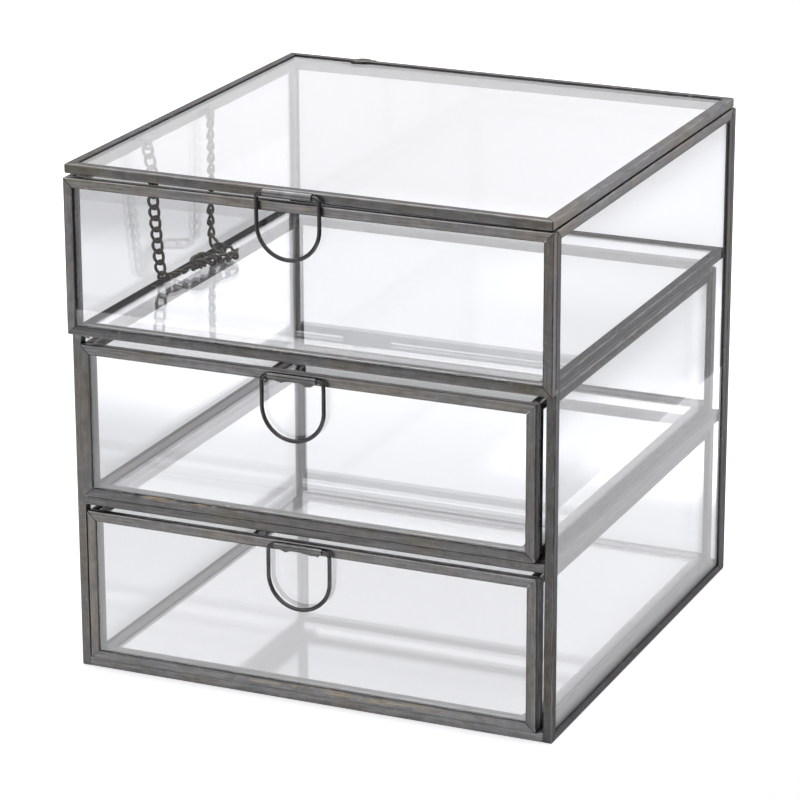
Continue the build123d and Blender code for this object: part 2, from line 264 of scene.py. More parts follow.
def patina_group():
    """Dark patina: drawn streaks, stains, pale specks, brass where it is worn, painted light and shade in
    each length's tone, a painted shade line at the lip, and painted highlights on the bends.
    """
    group, given, result = new_group(
        "metal_patina",
        {"Vector": ("Coords", "Lengthwise", "Rub Place", "Rub Reach"),
         "Float": ("Bend", "Lip", "Crown", "Mitre", "Patina And Painted Light", "Stain Amount", "Speck Amount", "Worn Amount",
                   "Bend Painted Highlight", "Least Roughness"),
         "Color": ("Body", "Stain", "Speck", "Worn")},
        {"Color": ("Colour",), "Float": ("Roughness", "Height")})
    coords = given["Coords"]
    broad = mottle(group, coords, scale=45.0, detail=2.0)
    patch = mottle(group, coords, scale=240.0, detail=4.0, roughness=0.6)
    drawn = mottle(group, given["Lengthwise"], scale=90.0, detail=4.0, roughness=0.65)
    grain = mottle(group, coords, scale=1500.0, detail=2.0)

    streaks = weigh(group, (DRAWN_SHARE, drawn), (PATCH_SHARE, patch))
    shade = mix(group, fade(group, streaks, *STREAK_LEVELS), DARK_STREAK, PALE_STREAK)
    # Each length's tone paints light and shade into the colour, besides its patina
    shade = tint(group, shade, given["Patina And Painted Light"])
    colour = tint(group, given["Body"], shade)
    stained = times(group, fade(group, broad, *STAIN_LEVELS), given["Stain Amount"])
    colour = mix(group, stained, colour, tint(group, given["Stain"], shade))

    speck_noise = mottle(group, coords, scale=620.0, detail=3.0, roughness=0.6)
    speck_areas = fade(group, mottle(group, coords, scale=75.0, detail=2.0), *SPECK_AREA_LEVELS)
    specks = times(group, fade(group, speck_noise, *SPECK_LEVELS), speck_areas, given["Speck Amount"])
    colour = mix(group, specks, colour, given["Speck"])

    from_rub = calc_vector(group, "SUBTRACT", coords, given["Rub Place"])
    from_rub = calc_vector(group, "MULTIPLY", from_rub, given["Rub Reach"])
    rub = near(group, length_of(group, from_rub), *RUB_REACH)
    rubbed = times(group, rub, fade(group, patch, *RUBBED_LEVELS), RUBBED_SHARE)
    colour = mix(group, rubbed, colour, given["Speck"])
    # A painted shade line along the lip, where the came meets the glass
    colour = mix(group, times(group, given["Lip"], LIP_PAINTED_SHADE_SHARE), colour, LIP_PAINTED_SHADE)

    brass_noise = mottle(group, coords, scale=360.0, detail=4.0, roughness=0.65)
    brass_streaks = times(group, rub, fade(group, drawn, *BRASS_STREAK_LEVELS), BRASS_STREAK_SHARE)
    brass_spots = calc(group, "MAXIMUM", fade(group, brass_noise, *BRASS_LEVELS), brass_streaks)
    brass_areas = fade(group, mottle(group, coords, scale=30.0, detail=1.0), *BRASS_AREA_LEVELS)
    brass_areas = calc(group, "MAXIMUM", brass_areas, rub)
    brass_edges = calc(group, "MULTIPLY_ADD", given["Lip"], BRASS_AT_LIP, BRASS_ELSEWHERE)
    worn = times(group, brass_spots, calc(group, "ADD", brass_edges, rub), brass_areas)
    worn = calc(group, "MULTIPLY", worn, given["Worn Amount"], clamp=True)
    colour = mix(group, worn, colour, given["Worn"])

    # A painted highlight along the bends, partly wear, which also polishes them
    bright = times(group, given["Bend"], given["Bend Painted Highlight"], fade(group, drawn, *BEND_HIGHLIGHT_LEVELS))
    colour = mix(group, bright, colour, PAINTED_BEND_HIGHLIGHT)
    colour = mix(group, times(group, given["Mitre"], MITRE_SHARE), colour, MITRE_SHADOW)
    plug(group, colour, result["Colour"])

    rough = calc(group, "MULTIPLY_ADD", patch, PATCH_ROUGHNESS, given["Least Roughness"])
    polished = calc(group, "ADD", bright, worn)
    plug(group, calc(group, "MULTIPLY_ADD", polished, POLISH, rough), result["Roughness"])
    height = weigh(group, (GRAIN_HEIGHT, grain), (STREAK_HEIGHT, drawn), (CROWN_HEIGHT, given["Crown"]),
                   (PATCH_HEIGHT, patch))
    plug(group, height, result["Height"])
    return group


CAME_LENGTHS = came_lengths_group()
PATINA = patina_group()
BRASS = (0.58, 0.42, 0.21)
PALE_SPECK = (0.25, 0.26, 0.3)
PATINA_EDGE, SHADED_EDGE = (0.5, 0.5, 0.52), (0.15, 0.15, 0.16)
NO_RUB = ((0.0, 0.0, -1.0), (1.0, 1.0, 1.0))
SKIN_DEPTH = 0.2 * MM
# A half length that keeps a straight bar's ends, which have no mitres, out of reach
ENDLESS = 10.0


def add_came_lengths(tree, coords, patina, box, axes, mitred, leans, patina_and_light_tones):
    """Feeds the patina with places along a frame's four lengths, or along one straight bar."""
    low, high = (Vector(corner) for corner in box)
    half = (high - low) / 2
    axis_of = split_axes(tree, calc_vector(tree, "SUBTRACT", coords, tuple(low + half)))
    lengths = tree.nodes.new("ShaderNodeGroup")
    lengths.node_tree = CAME_LENGTHS
    for letter, axis in zip("ABW", axes):
        index = "xyz".index(axis)
        plug(tree, axis_of[index], lengths.inputs[letter])
        lengths.inputs["Half " + letter].default_value = half[index]
    if leans:
        lean = (half.z - CAME_FACE / 2) / half.x
        plug(tree, calc(tree, "MULTIPLY_ADD", axis_of["X"], lean, axis_of["Z"]), lengths.inputs["W"])
        lengths.inputs["Half W"].default_value = CAME_FACE / 2
    if not mitred:
        lengths.inputs["Half A"].default_value = ENDLESS
    for tone_name, tone in zip(PATINA_AND_LIGHT_TONE_NAMES, patina_and_light_tones):
        lengths.inputs[tone_name].default_value = tone
    for output in lengths.outputs:
        plug(tree, output, patina.inputs[output.name])


def patina_material(name, body, stain, amounts, painted_highlight=0.0, bump=0.12, lengths=None, rub=NO_RUB,
                    speck=PALE_SPECK, least_roughness=0.22, edge=PATINA_EDGE):
    """Aged metal. The amounts are of stains, pale specks and worn brass."""
    material = bpy.data.materials.new(name)
    material.use_nodes = True
    tree = material.node_tree
    shader = tree.nodes["Principled BSDF"]
    coords = tree.nodes.new("ShaderNodeTexCoord").outputs["Object"]
    patina = tree.nodes.new("ShaderNodeGroup")
    patina.node_tree = PATINA
    plug(tree, coords, patina.inputs["Coords"])
    if lengths is None:
        plug(tree, coords, patina.inputs["Lengthwise"])
        patina.inputs["Patina And Painted Light"].default_value = 1.0
    else:
        add_came_lengths(tree, coords, patina, *lengths)
    for socket_name, value in (("Body", body), ("Stain", stain), ("Speck", speck), ("Worn", BRASS)):
        patina.inputs[socket_name].default_value = (*value, 1)
    for socket_name, value in zip(("Stain Amount", "Speck Amount", "Worn Amount"), amounts):
        patina.inputs[socket_name].default_value = value
    patina.inputs["Bend Painted Highlight"].default_value = painted_highlight
    patina.inputs["Least Roughness"].default_value = least_roughness
    for socket_name, value in zip(("Rub Place", "Rub Reach"), rub):
        patina.inputs[socket_name].default_value = value
    plug(tree, patina.outputs["Colour"], shader.inputs["Base Color"])
    plug(tree, patina.outputs["Roughness"], shader.inputs["Roughness"])
    shader.inputs["Metallic"].default_value = 1.0
    shader.inputs["Specular Tint"].default_value = (*edge, 1)
    skin = tree.nodes.new("ShaderNodeBump")
    skin.inputs["Strength"].default_value = bump
    skin.inputs["Distance"].default_value = SKIN_DEPTH
    plug(tree, patina.outputs["Height"], skin.inputs["Height"])
    plug(tree, skin.outputs[0], shader.inputs["Normal"])
    return material


GLASS_IOR = 1.5
LAMP_SHARE = (0.93, 0.94, 0.95, 1)


def glass_material(name, colour):
    """Clear float glass that lets lamps through to what is behind it."""
    material = bpy.data.materials.new(name)
    material.use_nodes = True
    tree = material.node_tree
    shader = tree.nodes["Principled BSDF"]
    shader.inputs["Base Color"].default_value = (*colour, 1)
    shader.inputs["Roughness"].default_value = 0.0
    shader.inputs["IOR"].default_value = GLASS_IOR
    shader.inputs["Transmission Weight"].default_value = 1.0
    clear = tree.nodes.new("ShaderNodeBsdfTransparent")
    clear.inputs["Color"].default_value = LAMP_SHARE
    mixed = tree.nodes.new("ShaderNodeMixShader")
    plug(tree, tree.nodes.new("ShaderNodeLightPath").outputs["Is Shadow Ray"], mixed.inputs[0])
    plug(tree, shader.outputs[0], mixed.inputs[1])
    plug(tree, clear.outputs[0], mixed.inputs[2])
    plug(tree, mixed.outputs[0], tree.nodes["Material Output"].inputs["Surface"])
    return material


# Finishes
CAME_BODY, CAME_STAIN = (0.114, 0.112, 0.11), (0.118, 0.103, 0.08)
CAME_AMOUNTS, SPECKLED_AMOUNTS = (0.55, 0.5, 0.6), (0.55, 0.95, 0.7)
CAME_PAINTED_HIGHLIGHT, CAME_BUMP = 0.2, 0.14
glass = glass_material("clear_glass", (0.984, 0.988, 0.993))
ring_metal = patina_material(
    "ring_wire", body=(0.075, 0.074, 0.074), stain=(0.07, 0.064, 0.056), amounts=(0.4, 0.1, 0.1),
    bump=0.04, least_roughness=0.06)
tube_metal = patina_material(
    "pull_tube", body=(0.17, 0.168, 0.166), stain=(0.13, 0.115, 0.095), amounts=(0.4, 0.3, 0.4),
    bump=0.05, least_roughness=0.0)
chain_metal = patina_material(
    "bronzed_chain", body=(0.062, 0.056, 0.046), stain=(0.05, 0.042, 0.03), amounts=(0.6, 0.2, 1.0))
hinge_metal = patina_material("dark_hinge", CAME_BODY, CAME_STAIN, amounts=(0.5, 0.4, 0.3))
solder_metal = patina_material(
    "gray_solder", body=(0.24, 0.24, 0.26), stain=(0.12, 0.12, 0.125), amounts=(0.6, 0.5, 0.2),
    bump=0.25, speck=(0.5, 0.5, 0.54))
drip_metal = patina_material(
    "dark_solder", body=(0.13, 0.125, 0.118), stain=(0.1, 0.09, 0.075), amounts=(0.6, 0.5, 0.3),
    bump=0.3, speck=(0.5, 0.48, 0.45))
finishes = {"glass": glass, "ring_wire": ring_metal, "chain": chain_metal, "solder": drip_metal,
            "hinge": hinge_metal}


def rub_spot(place, radii):
    """A place that has been rubbed bright, as the patina takes it."""
    return tuple(mm(*place)), tuple(1 / (radius * MM) for radius in radii)


rub_spots = {
    "front_frame": rub_spot((-2.5, -102.0, 199.6), (11, 4, 1.7)),
    "upper_drawer_front_frame": rub_spot((-50, -100, 75.5), (45, 4, 1.1)),
    "lower_drawer_front_frame": rub_spot((20, -100, 6.4), (85, 4, 1.8)),
}
# How bright each length is, partly its patina and partly painted light and shade: bottom and top rail,
# then left and right or front and rear post
# On a level frame they are the front, back, left and right rails
PLAIN_PATINA_AND_LIGHT_TONES = (1.2, 1.2, 1.0, 1.0)
length_patina_and_light_tones = {
    "front_frame": (1.25, 2.0, 1.75, 1.35),
    "lid_frame": (1.3, 1.4, 1.25, 1.6),
    "left_side_frame": (1.2, 1.2, 1.45, 1.0),
    "right_side_frame": (1.2, 1.6, 0.95, 1.0),
    "floor_frame": (1.0, 1.0, 0.5, 0.35),
    "upper_drawer_front_frame": (1.36, 1.85, 1.4, 1.48),
    "upper_drawer_right_frame": (0.7, 0.7, 0.7, 0.7),
    "lower_drawer_front_frame": (2.05, 1.82, 1.85, 1.6),
    "lower_drawer_right_frame": (0.8, 0.8, 0.8, 0.8),
    "middle_rail": (1.36, 1.36, 1.36, 1.36),
    "base_rail": (2.2, 2.2, 2.2, 2.2),
}
# How strong the painted highlight on each frame's bends is
bend_painted_highlights = {"upper_drawer_right_frame": 0.75, "lower_drawer_right_frame": 0.75, "floor_frame": 0.5}
speckled_frames = ("back_frame", "left_side_frame")
shaded_frames = ("floor_frame", "upper_drawer_right_frame")


def came_material(node_name):
    """The came's finish on one frame or bar, with its streaks along each length and each length's tone,
    partly patina and partly painted light and shade.
    """
    words = node_name.split("_")
    mitred = words[-1] == "frame"
    leans = mitred and words[-2] == "lid"
    if mitred and words[-2] in ("lid", "floor", "bottom"):
        axes = "xyz"
    elif mitred and words[-2] in ("side", "left", "right") or words[-1] in ("runner", "lug"):
        axes = "yzx"
    else:
        axes = "xzy"
    return patina_material(
        "came_" + node_name, CAME_BODY, CAME_STAIN,
        amounts=SPECKLED_AMOUNTS if node_name in speckled_frames else CAME_AMOUNTS,
        painted_highlight=bend_painted_highlights.get(node_name, CAME_PAINTED_HIGHLIGHT),
        bump=CAME_BUMP,
        lengths=(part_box(node_name), axes, mitred, leans, length_patina_and_light_tones.get(node_name, PLAIN_PATINA_AND_LIGHT_TONES)),
        rub=rub_spots.get(node_name, NO_RUB),
        edge=SHADED_EDGE if node_name in shaded_frames else PATINA_EDGE)


slot_of = {row["node"]: row["material_slot"] for row in record["subparts"]}
for node_name, node in frame["nodes"].items():
    if node_name.endswith("_pull_tube"):
        metal = tube_metal
    elif slot_of[node_name] == "came":
        metal = came_material(node_name)
    else:
        metal = finishes[slot_of[node_name]]
    node.data.materials.clear()
    node.data.materials.append(metal)


# Geometry Nodes helpers
def add_object(name, data):
    """A new object in the scene, at the origin."""
    piece = bpy.data.objects.new(name, data)
    bpy.context.scene.collection.objects.link(piece)
    return piece


def new_tree(name, inputs):
    """An empty Geometry Nodes tree: its given and result sockets, and its inputs' identifiers."""
    tree = bpy.data.node_groups.new(name, "GeometryNodeTree")
    add_sockets(tree, "INPUT", {"Geometry": ("Geometry",)})
    identifiers = add_sockets(tree, "INPUT", inputs)
    add_sockets(tree, "OUTPUT", {"Geometry": ("Geometry",)})
    given = tree.nodes.new("NodeGroupInput").outputs
    return tree, given, tree.nodes.new("NodeGroupOutput").inputs, identifiers


def geo(tree, kind, inputs, **settings):
    """A node with its settings, and its inputs by name or number."""
    node = tree.nodes.new(kind)
    for key, value in settings.items():
        setattr(node, key, value)
    for key, value in inputs.items():
        plug(tree, value, node.inputs[key])
    return node.outputs


def finish_tree(tree, instances, metal, result):
    """Ends a tree in real, smooth faces of one material."""
    real = geo(tree, "GeometryNodeRealizeInstances", {"Geometry": instances})[0]
    smooth = geo(tree, "GeometryNodeSetShadeSmooth", {0: real})[0]
    finished = geo(tree, "GeometryNodeSetMaterial", {"Geometry": smooth, "Material": metal})[0]
    plug(tree, finished, result["Geometry"])


def run_tree(name, data, tree, identifiers, values):
    """Runs a tree on some data and gives back the plain mesh that it makes."""
    holder = add_object(name, data)
    modifier = holder.modifiers.new(name, "NODES")
    modifier.node_group = tree
    for socket_name, value in values.items():
        modifier[identifiers[socket_name]] = value
    bpy.context.view_layer.update()
    evaluated = holder.evaluated_get(bpy.context.evaluated_depsgraph_get())
    mesh = bpy.data.meshes.new_from_object(evaluated)
    holder.modifiers.remove(modifier)
    bpy.data.objects.remove(holder)
    return mesh


# Chain: twisted oval links along one smooth route from the lid's lug to the box's, in mm
CHAIN_ROUTE = [
    (-92.33, -46.25, 196.4), (-92.45, -45.98, 195.1), (-91.6, -44.9, 190), (-91.9, -41.4, 170),
    (-92.0, -38.2, 150), (-91.8, -36.4, 144.7), (-91.0, -33.0, 144.2), (-89.3, -30.6, 144.6),
    (-89.6, -27.2, 144.2), (-87.6, -24.6, 144.8), (-87.2, -21.0, 145.0), (-84.6, -18.0, 145.2),
    (-84.2, -13.0, 145.0), (-82.6, -9.5, 145.4), (-85.2, -8.4, 146.4), (-86.4, -12.5, 147.0),
    (-87.4, -17.0, 147.0), (-85.4, -19.8, 146.4), (-83.2, -16.0, 146.0), (-83.8, -11.5, 146.2),
    (-81.8, -7.0, 145.4), (-80.4, -2.4, 144.9), (-79.2, 1.4, 144.9), (-79.0, 5.2, 144.8),
    (-83.5, 7.6, 144.8), (-89.5, 9.2, 145.0), (-93.2, 10.9, 147.6), (-93.7, 11.15, 156),
    (-93.6, 11.15, 180), (-93.6, 11.15, 195.6)]
LINK_COUNT = 39
LINK_WIRE, LINK_LENGTH, LINK_WIDTH = 1.3 * MM, 7.5 * MM, 5.0 * MM
LINK_TWIST = math.radians(84)
LINK_PLUMPNESS = 0.8
ROUTE_RESOLUTION = 24
# The rear strand shows its links from another side than the front one
REAR_POINTS, REAR_TILT = 4, math.radians(90)


def chain_tree():
    """Oval links of round wire, twisted end to end, set along a route curve."""
    tree, given, result, identifiers = new_tree(
        "chain_of_links",
        {"Int": ("Links",), "Float": ("Wire", "Link Length", "Link Width", "Twist"),
         "Material": ("Metal",)})
    oval = geo(tree, "GeometryNodeCurvePrimitiveCircle", {"Resolution": 20, "Radius": 1.0})[0]
    end_to_end, side_to_side, _ = split_axes(tree, geo(tree, "GeometryNodeInputPosition", {})[0])
    half_length = times(tree, calc(tree, "SUBTRACT", given["Link Length"], given["Wire"]), 0.5)
    half_width = times(tree, calc(tree, "SUBTRACT", given["Link Width"], given["Wire"]), 0.5)
    plump = calc(tree, "POWER", calc(tree, "ABSOLUTE", side_to_side), LINK_PLUMPNESS)
    across = times(tree, calc(tree, "SIGN", side_to_side), plump, half_width)
    turn = times(tree, end_to_end, given["Twist"], 0.5)
    shape = geo(tree, "ShaderNodeCombineXYZ", {
        "X": times(tree, across, calc(tree, "COSINE", turn)),
        "Y": times(tree, across, calc(tree, "SINE", turn)),
        "Z": times(tree, end_to_end, half_length)})[0]
    bent = geo(tree, "GeometryNodeSetPosition", {"Geometry": oval, "Position": shape})[0]
    wire = geo(tree, "GeometryNodeCurvePrimitiveCircle", {
        "Resolution": 8, "Radius": times(tree, given["Wire"], 0.5)})[0]
    link = geo(tree, "GeometryNodeCurveToMesh", {"Curve": bent, "Profile Curve": wire})[0]
    places = geo(tree, "GeometryNodeCurveToPoints", {
        "Curve": given["Geometry"], "Count": given["Links"]}, mode="COUNT")
    links = geo(tree, "GeometryNodeInstanceOnPoints", {
        "Points": places["Points"], "Instance": link, "Rotation": places["Rotation"]})[0]
    finish_tree(tree, links, given["Metal"], result)
    return tree, identifiers


def chain_route():
    """The chain's route as a smooth curve."""
    curve = bpy.data.curves.new("chain_route", "CURVE")
    curve.dimensions = "3D"
    curve.resolution_u = ROUTE_RESOLUTION
    curve.twist_mode = "MINIMUM"
    spline = curve.splines.new("NURBS")
    spline.points.add(len(CHAIN_ROUTE) - 1)
    for point, place in zip(spline.points, CHAIN_ROUTE):
        point.co = (*mm(*place), 1.0)
    for point in spline.points[-REAR_POINTS:]:
        point.tilt = REAR_TILT
    spline.order_u = 3
    spline.use_endpoint_u = True
    return curve


def build_chain():
    """Each link is a piece: the first goes with the lid, and the rest with the cabinet."""
    links_mesh = run_tree("chain_links", chain_route(), *chain_tree(), {
        "Links": LINK_COUNT, "Wire": LINK_WIRE, "Link Length": LINK_LENGTH, "Link Width": LINK_WIDTH,
        "Twist": LINK_TWIST, "Metal": chain_metal})
    corners = [vertex.co.copy() for vertex in links_mesh.vertices]
    faces = [tuple(face.vertices) for face in links_mesh.polygons]
    corners_each, faces_each = len(corners) // LINK_COUNT, len(faces) // LINK_COUNT
    bpy.data.meshes.remove(links_mesh)
    for index in range(LINK_COUNT):
        first = index * corners_each
        points = corners[first:first + corners_each]
        link_faces = faces[index * faces_each:(index + 1) * faces_each]
        mesh = bpy.data.meshes.new(f"chain_link_{index + 1:02d}")
        mesh.from_pydata(points, [], [[corner - first for corner in face] for face in link_faces])
        mesh.shade_smooth()
        mesh.materials.append(chain_metal)
        link = add_object(mesh.name, mesh)
        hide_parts("chain")
        if index == 0:
            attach(link, "lid")
            continue
        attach(link, "cabinet")
        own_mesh(link)


build_chain()


# Solder: drips under the drawers' pull tubes, a lump over the left hinge, and dabs at the corners
def box_mm(node_name):
    """A node's lowest and highest corners in mm."""
    return [Vector(corner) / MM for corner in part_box(node_name)]


# A drip's steps along the tube and sides around it, then its sizes in mm
DRIP_STEPS, DRIP_SIDES, TAPER_STEPS = 48, 12, 4
DRIP_INSET, DRIP_SET_BACK, DRIP_HALF_BREADTH = 0.6, 0.55, 0.75
DRIP_LEAST_DEPTH, DRIP_HALF_BEAD = 0.25, 0.35
TUBE_SHARE, END_TAPER = 0.75, 0.05
RAGGEDNESS, RAG_PACE = 0.3, 0.9


def solder_drip(name, body, tube_name, lobes):
    """A ragged bead along the underside of a pull's tube. Lobes are place, breadth and depth in mm."""
    low, high = box_mm(tube_name)
    middle = (low + high) / 2
    tube_radius = (high.z - low.z) / 2
    points, faces = [], []
    for step in range(DRIP_STEPS + 1):
        x = low.x + DRIP_INSET + (high.x - low.x - 2 * DRIP_INSET) * step / DRIP_STEPS
        from_middle = x - middle.x
        depth = DRIP_LEAST_DEPTH + sum(
            drop * math.exp(-((from_middle - place) / breadth) ** 2) for place, breadth, drop in lobes)
        depth *= 1 + RAGGEDNESS * solid_noise.noise(Vector((x * RAG_PACE, middle.z, 0)))
        taper = min(1.0, END_TAPER + min(step, DRIP_STEPS - step) / TAPER_STEPS)
        centre_z = middle.z - tube_radius * TUBE_SHARE - depth * 0.5
        half_height = DRIP_HALF_BEAD + depth * 0.5
        for side in range(DRIP_SIDES):
            angle = 2 * math.pi * side / DRIP_SIDES
            y = middle.y + DRIP_SET_BACK + DRIP_HALF_BREADTH * taper * math.cos(angle)
            points.append(mm(x, y, centre_z + half_height * taper * math.sin(angle)))
    for step in range(DRIP_STEPS):
        for side in range(DRIP_SIDES):
            a = step * DRIP_SIDES + side
            b = step * DRIP_SIDES + (side + 1) % DRIP_SIDES
            faces.append((a, a + DRIP_SIDES, b + DRIP_SIDES, b))
    faces.append(tuple(range(DRIP_SIDES)))
    faces.append(tuple(reversed(range(DRIP_STEPS * DRIP_SIDES, (DRIP_STEPS + 1) * DRIP_SIDES))))
    mesh = bpy.data.meshes.new(name)
    mesh.from_pydata(points, [], faces)
    shell = bmesh.new()
    shell.from_mesh(mesh)
    bmesh.ops.recalc_face_normals(shell, faces=shell.faces)
    shell.to_mesh(mesh)
    shell.free()
    mesh.shade_smooth()
    mesh.materials.append(drip_metal)
    piece = add_object(name, mesh)
    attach(piece, body)


SWELL_RANGE, SWELL_LEAST = 0.8, 0.6
MOST_SPIN = 0.5


def dab_tree():
    """Flattened uneven lumps, one on each point, turned to the point's face and sized by its attribute."""
    tree, given, result, identifiers = new_tree(
        "solder_dabs", {"Float": ("Flatness",), "Int": ("Seed",), "Material": ("Metal",)})
    lump = geo(tree, "GeometryNodeMeshIcoSphere", {"Radius": 1.0, "Subdivisions": 4})[0]
    place = geo(tree, "GeometryNodeInputPosition", {})[0]
    uneven = geo(tree, "ShaderNodeTexNoise", {"Vector": place, "Scale": 1.6, "Detail": 1.0})[0]
    swell = calc(tree, "MULTIPLY_ADD", uneven, SWELL_RANGE, SWELL_LEAST)
    flat = geo(tree, "ShaderNodeCombineXYZ", {
        "X": swell, "Y": swell, "Z": times(tree, swell, given["Flatness"])})[0]
    shaped = calc_vector(tree, "MULTIPLY", place, flat)
    dab = geo(tree, "GeometryNodeSetPosition", {"Geometry": lump, "Position": shaped})[0]
    facing, size = (
        geo(tree, "GeometryNodeInputNamedAttribute", {"Name": name}, data_type="FLOAT_VECTOR")[0]
        for name in ("facing", "size"))
    turned = geo(tree, "FunctionNodeAlignRotationToVector", {"Vector": facing}, axis="Z")[0]
    # Sockets 2 and 3 are the least and the most of a plain number
    spin = geo(tree, "FunctionNodeRandomValue", {
        2: -MOST_SPIN, 3: MOST_SPIN, "Seed": given["Seed"]}, data_type="FLOAT")[1]
    spun = geo(tree, "FunctionNodeRotateRotation", {
        0: turned, 1: geo(tree, "ShaderNodeCombineXYZ", {"Z": spin})[0]}, rotation_space="LOCAL")[0]
    places = geo(tree, "GeometryNodeMeshToPoints", {"Mesh": given["Geometry"]})[0]
    dabs = geo(tree, "GeometryNodeInstanceOnPoints", {
        "Points": places, "Instance": dab, "Rotation": spun, "Scale": size})[0]
    finish_tree(tree, dabs, given["Metal"], result)
    return tree, identifiers


DAB_TREE = dab_tree()


def solder_dabs(name, body, dabs, seed, metal, flatness):
    """Dabs are place in mm, the way they face, and their two sizes and height in mm."""
    mesh = bpy.data.meshes.new(name + "_places")
    mesh.from_pydata([mm(*place) for place, facing, size in dabs], [], [])
    facings = mesh.attributes.new("facing", "FLOAT_VECTOR", "POINT")
    sizes = mesh.attributes.new("size", "FLOAT_VECTOR", "POINT")
    for index, (place, facing, size) in enumerate(dabs):
        facings.data[index].vector = facing
        sizes.data[index].vector = mm(*size)
    values = {"Flatness": flatness, "Seed": seed, "Metal": metal}
    result = run_tree(name + "_places", mesh, *DAB_TREE, values)
    result.name = name
    piece = add_object(name, result)
    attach(piece, body)


FRONT, SKY, RIGHT, LEFT = (0, -1, 0), (0, 0, 1), (1, 0, 0), (-1, 0, 0)
LUMP_FLATNESS, DAB_FLATNESS = 0.4, 0.32
LUMP_SEED, CABINET_SEED, UPPER_SEED, LOWER_SEED = 3, 7, 11, 17


def build_solder():
    """All the solder, placed from the frames that it sits on."""
    solder_drip("upper_drawer_pull_drip", "upper_drawer", "upper_drawer_pull_tube",
                ((-5.2, 2.4, 1.0), (6.2, 2.8, 1.5), (0.5, 1.5, 0.3)))
    solder_drip("lower_drawer_pull_drip", "lower_drawer", "lower_drawer_pull_tube",
                ((-5.8, 1.8, 0.9), (4.6, 3.4, 0.9), (7.6, 1.0, 0.6)))
    _, lid_high = box_mm("lid_frame")
    hinge_lump = ((-65.5, lid_high.y - 2.2, lid_high.z - 0.35), SKY, (5.2, 2.8, 2.0))
    solder_dabs("lid_hinge_solder", "lid", [hinge_lump], LUMP_SEED, drip_metal, LUMP_FLATNESS)
    front_low, _ = box_mm("front_frame")
    front_y, front_z = front_low.y, front_low.z
    cabinet_dabs = [
        ((99.7, front_y + 4.6, front_z + 1.0), RIGHT, (1.3, 1.3, 1.4)),
        ((97.5, front_y + 3.9, front_z + 0.1), FRONT, (1.6, 0.9, 0.9)),
        ((-97.6, front_y + 4.0, front_z - 1.2), FRONT, (1.4, 1.8, 1.2)),
        ((-94.8, front_y + 4.1, front_z - 0.7), FRONT, (2.2, 0.9, 1.0)),
        ((-99.6, front_y + 4.4, front_z + 0.6), LEFT, (1.2, 1.2, 1.0)),
        ((99.7, 99.6, 1.9), RIGHT, (0.8, 1.2, 0.5)),
        ((99.7, -97.0, 1.9), RIGHT, (0.8, 1.1, 0.5)),
    ]
    for post_x in (-95.6, 95.6):
        for rail_z in (2.6, 70.0):
            cabinet_dabs.append(((post_x, front_y + 4.2, rail_z), FRONT, (0.8, 1.4, 0.7)))
    solder_dabs("cabinet_solder", "cabinet", cabinet_dabs, CABINET_SEED, solder_metal, DAB_FLATNESS)
    for drawer_name, seed in (("upper_drawer", UPPER_SEED), ("lower_drawer", LOWER_SEED)):
        low, high = box_mm(drawer_name + "_front_frame")
        drawer_dabs = [
            ((high.x - 0.7, low.y + 2.0, high.z - 0.25), SKY, (1.3, 1.5, 1.0)),
            ((low.x + 0.8, low.y + 1.6, high.z - 0.2), SKY, (1.2, 1.4, 0.8)),
            ((high.x - 0.9, low.y + 0.2, low.z + 1.2), FRONT, (0.9, 0.8, 0.5)),
            ((low.x + 0.3, low.y + 0.6, high.z - 1.2), FRONT, (0.6, 0.7, 0.6)),
        ]
        solder_dabs(drawer_name + "_solder", drawer_name, drawer_dabs, seed, solder_metal, DAB_FLATNESS)


build_solder()


# Stage: a white table in front of a white surround, as the camera, the panes and the metal see them
def ray_kinds(tree):
    """Masks for rays from the camera, by way of clear glass, mirrored by it, and off rough metal."""
    rays = tree.nodes.new("ShaderNodeLightPath").outputs
    seen = rays["Is Camera Ray"]
    clear = times(tree, rays["Is Singular Ray"], invert(tree, seen))
    mirrored = times(tree, clear, rays["Is Reflection Ray"])
    rough = times(tree, rays["Is Glossy Ray"], invert(tree, clear))
    return seen, clear, mirrored, rough


TABLE_LEFT, TABLE_RIGHT, TABLE_FRONT, TABLE_BACK = -1.0, 0.19, -0.53, 1.0
TABLE_DROP = 0.05 * MM
TABLE_COLOUR, TABLE_ROUGHNESS = (0.8, 0.8, 0.8, 1), 0.9
TABLE_LIGHT = (0.975, 0.975, 1.0, 1)
# The table's zones, in metres from the middle of the box: where each begins and where it is full
AHEAD_Y, BESIDE_X = (-0.104, -0.108), (0.103, 0.107)
UNDER_X, UNDER_Y = (0.1, 0.106), (0.1, 0.13)
FAR_Y, FAR_LEFT_X = (0.55, 0.62), (-0.12, -0.18)
MIDWAY_Y, MIDWAY_LEFT_X = (0.42, 0.5), (-0.24, -0.34)
BEYOND_RIGHT_X, BEYOND_RIGHT_Y = (-0.17, -0.11), (0.4, 0.47)
AT_LEFT_SLANT, AT_LEFT_REACH = 1.8, (-0.31, -0.39)
AT_RIGHT_X, AT_RIGHT_Y = (-0.05, -0.02), (0.16, 0.22)
# How the light behind the box changes over such a stretch: its two ends, and the levels there
DEEPER = (0.1, 0.34, 0.58, 0.86)
RIGHTWARD = (-0.33, -0.15, 1.02, 1.15)
FARTHEST = (0.55, 0.64, 1.0, 1.1)
AT_RIGHT_DEEPER, AT_RIGHT_RIGHTWARD = (0.22, 0.37, 1.3, 0.5), (-0.015, 0.02, 1.0, 1.6)
BEYOND_RIGHT_LIFT, AT_LEFT_LIFT, FAR_LEFT_LIFT, AT_RIGHT_LIFT = 0.22, 0.45, -0.35, 1.0
# The same for the table ahead as the panes mirror it, and for the table around the box as it is seen
MIRRORED_AHEAD = (-0.4, -0.16, 3.0, 5.2)
SEEN_AROUND = (0.25, 0.7, 0.6, 1.0)
AHEAD_GLOW, BESIDE_GLOW, UNDER_GLOW, METAL_GLOW = 0.9, 1.25, 0.42, 0.22


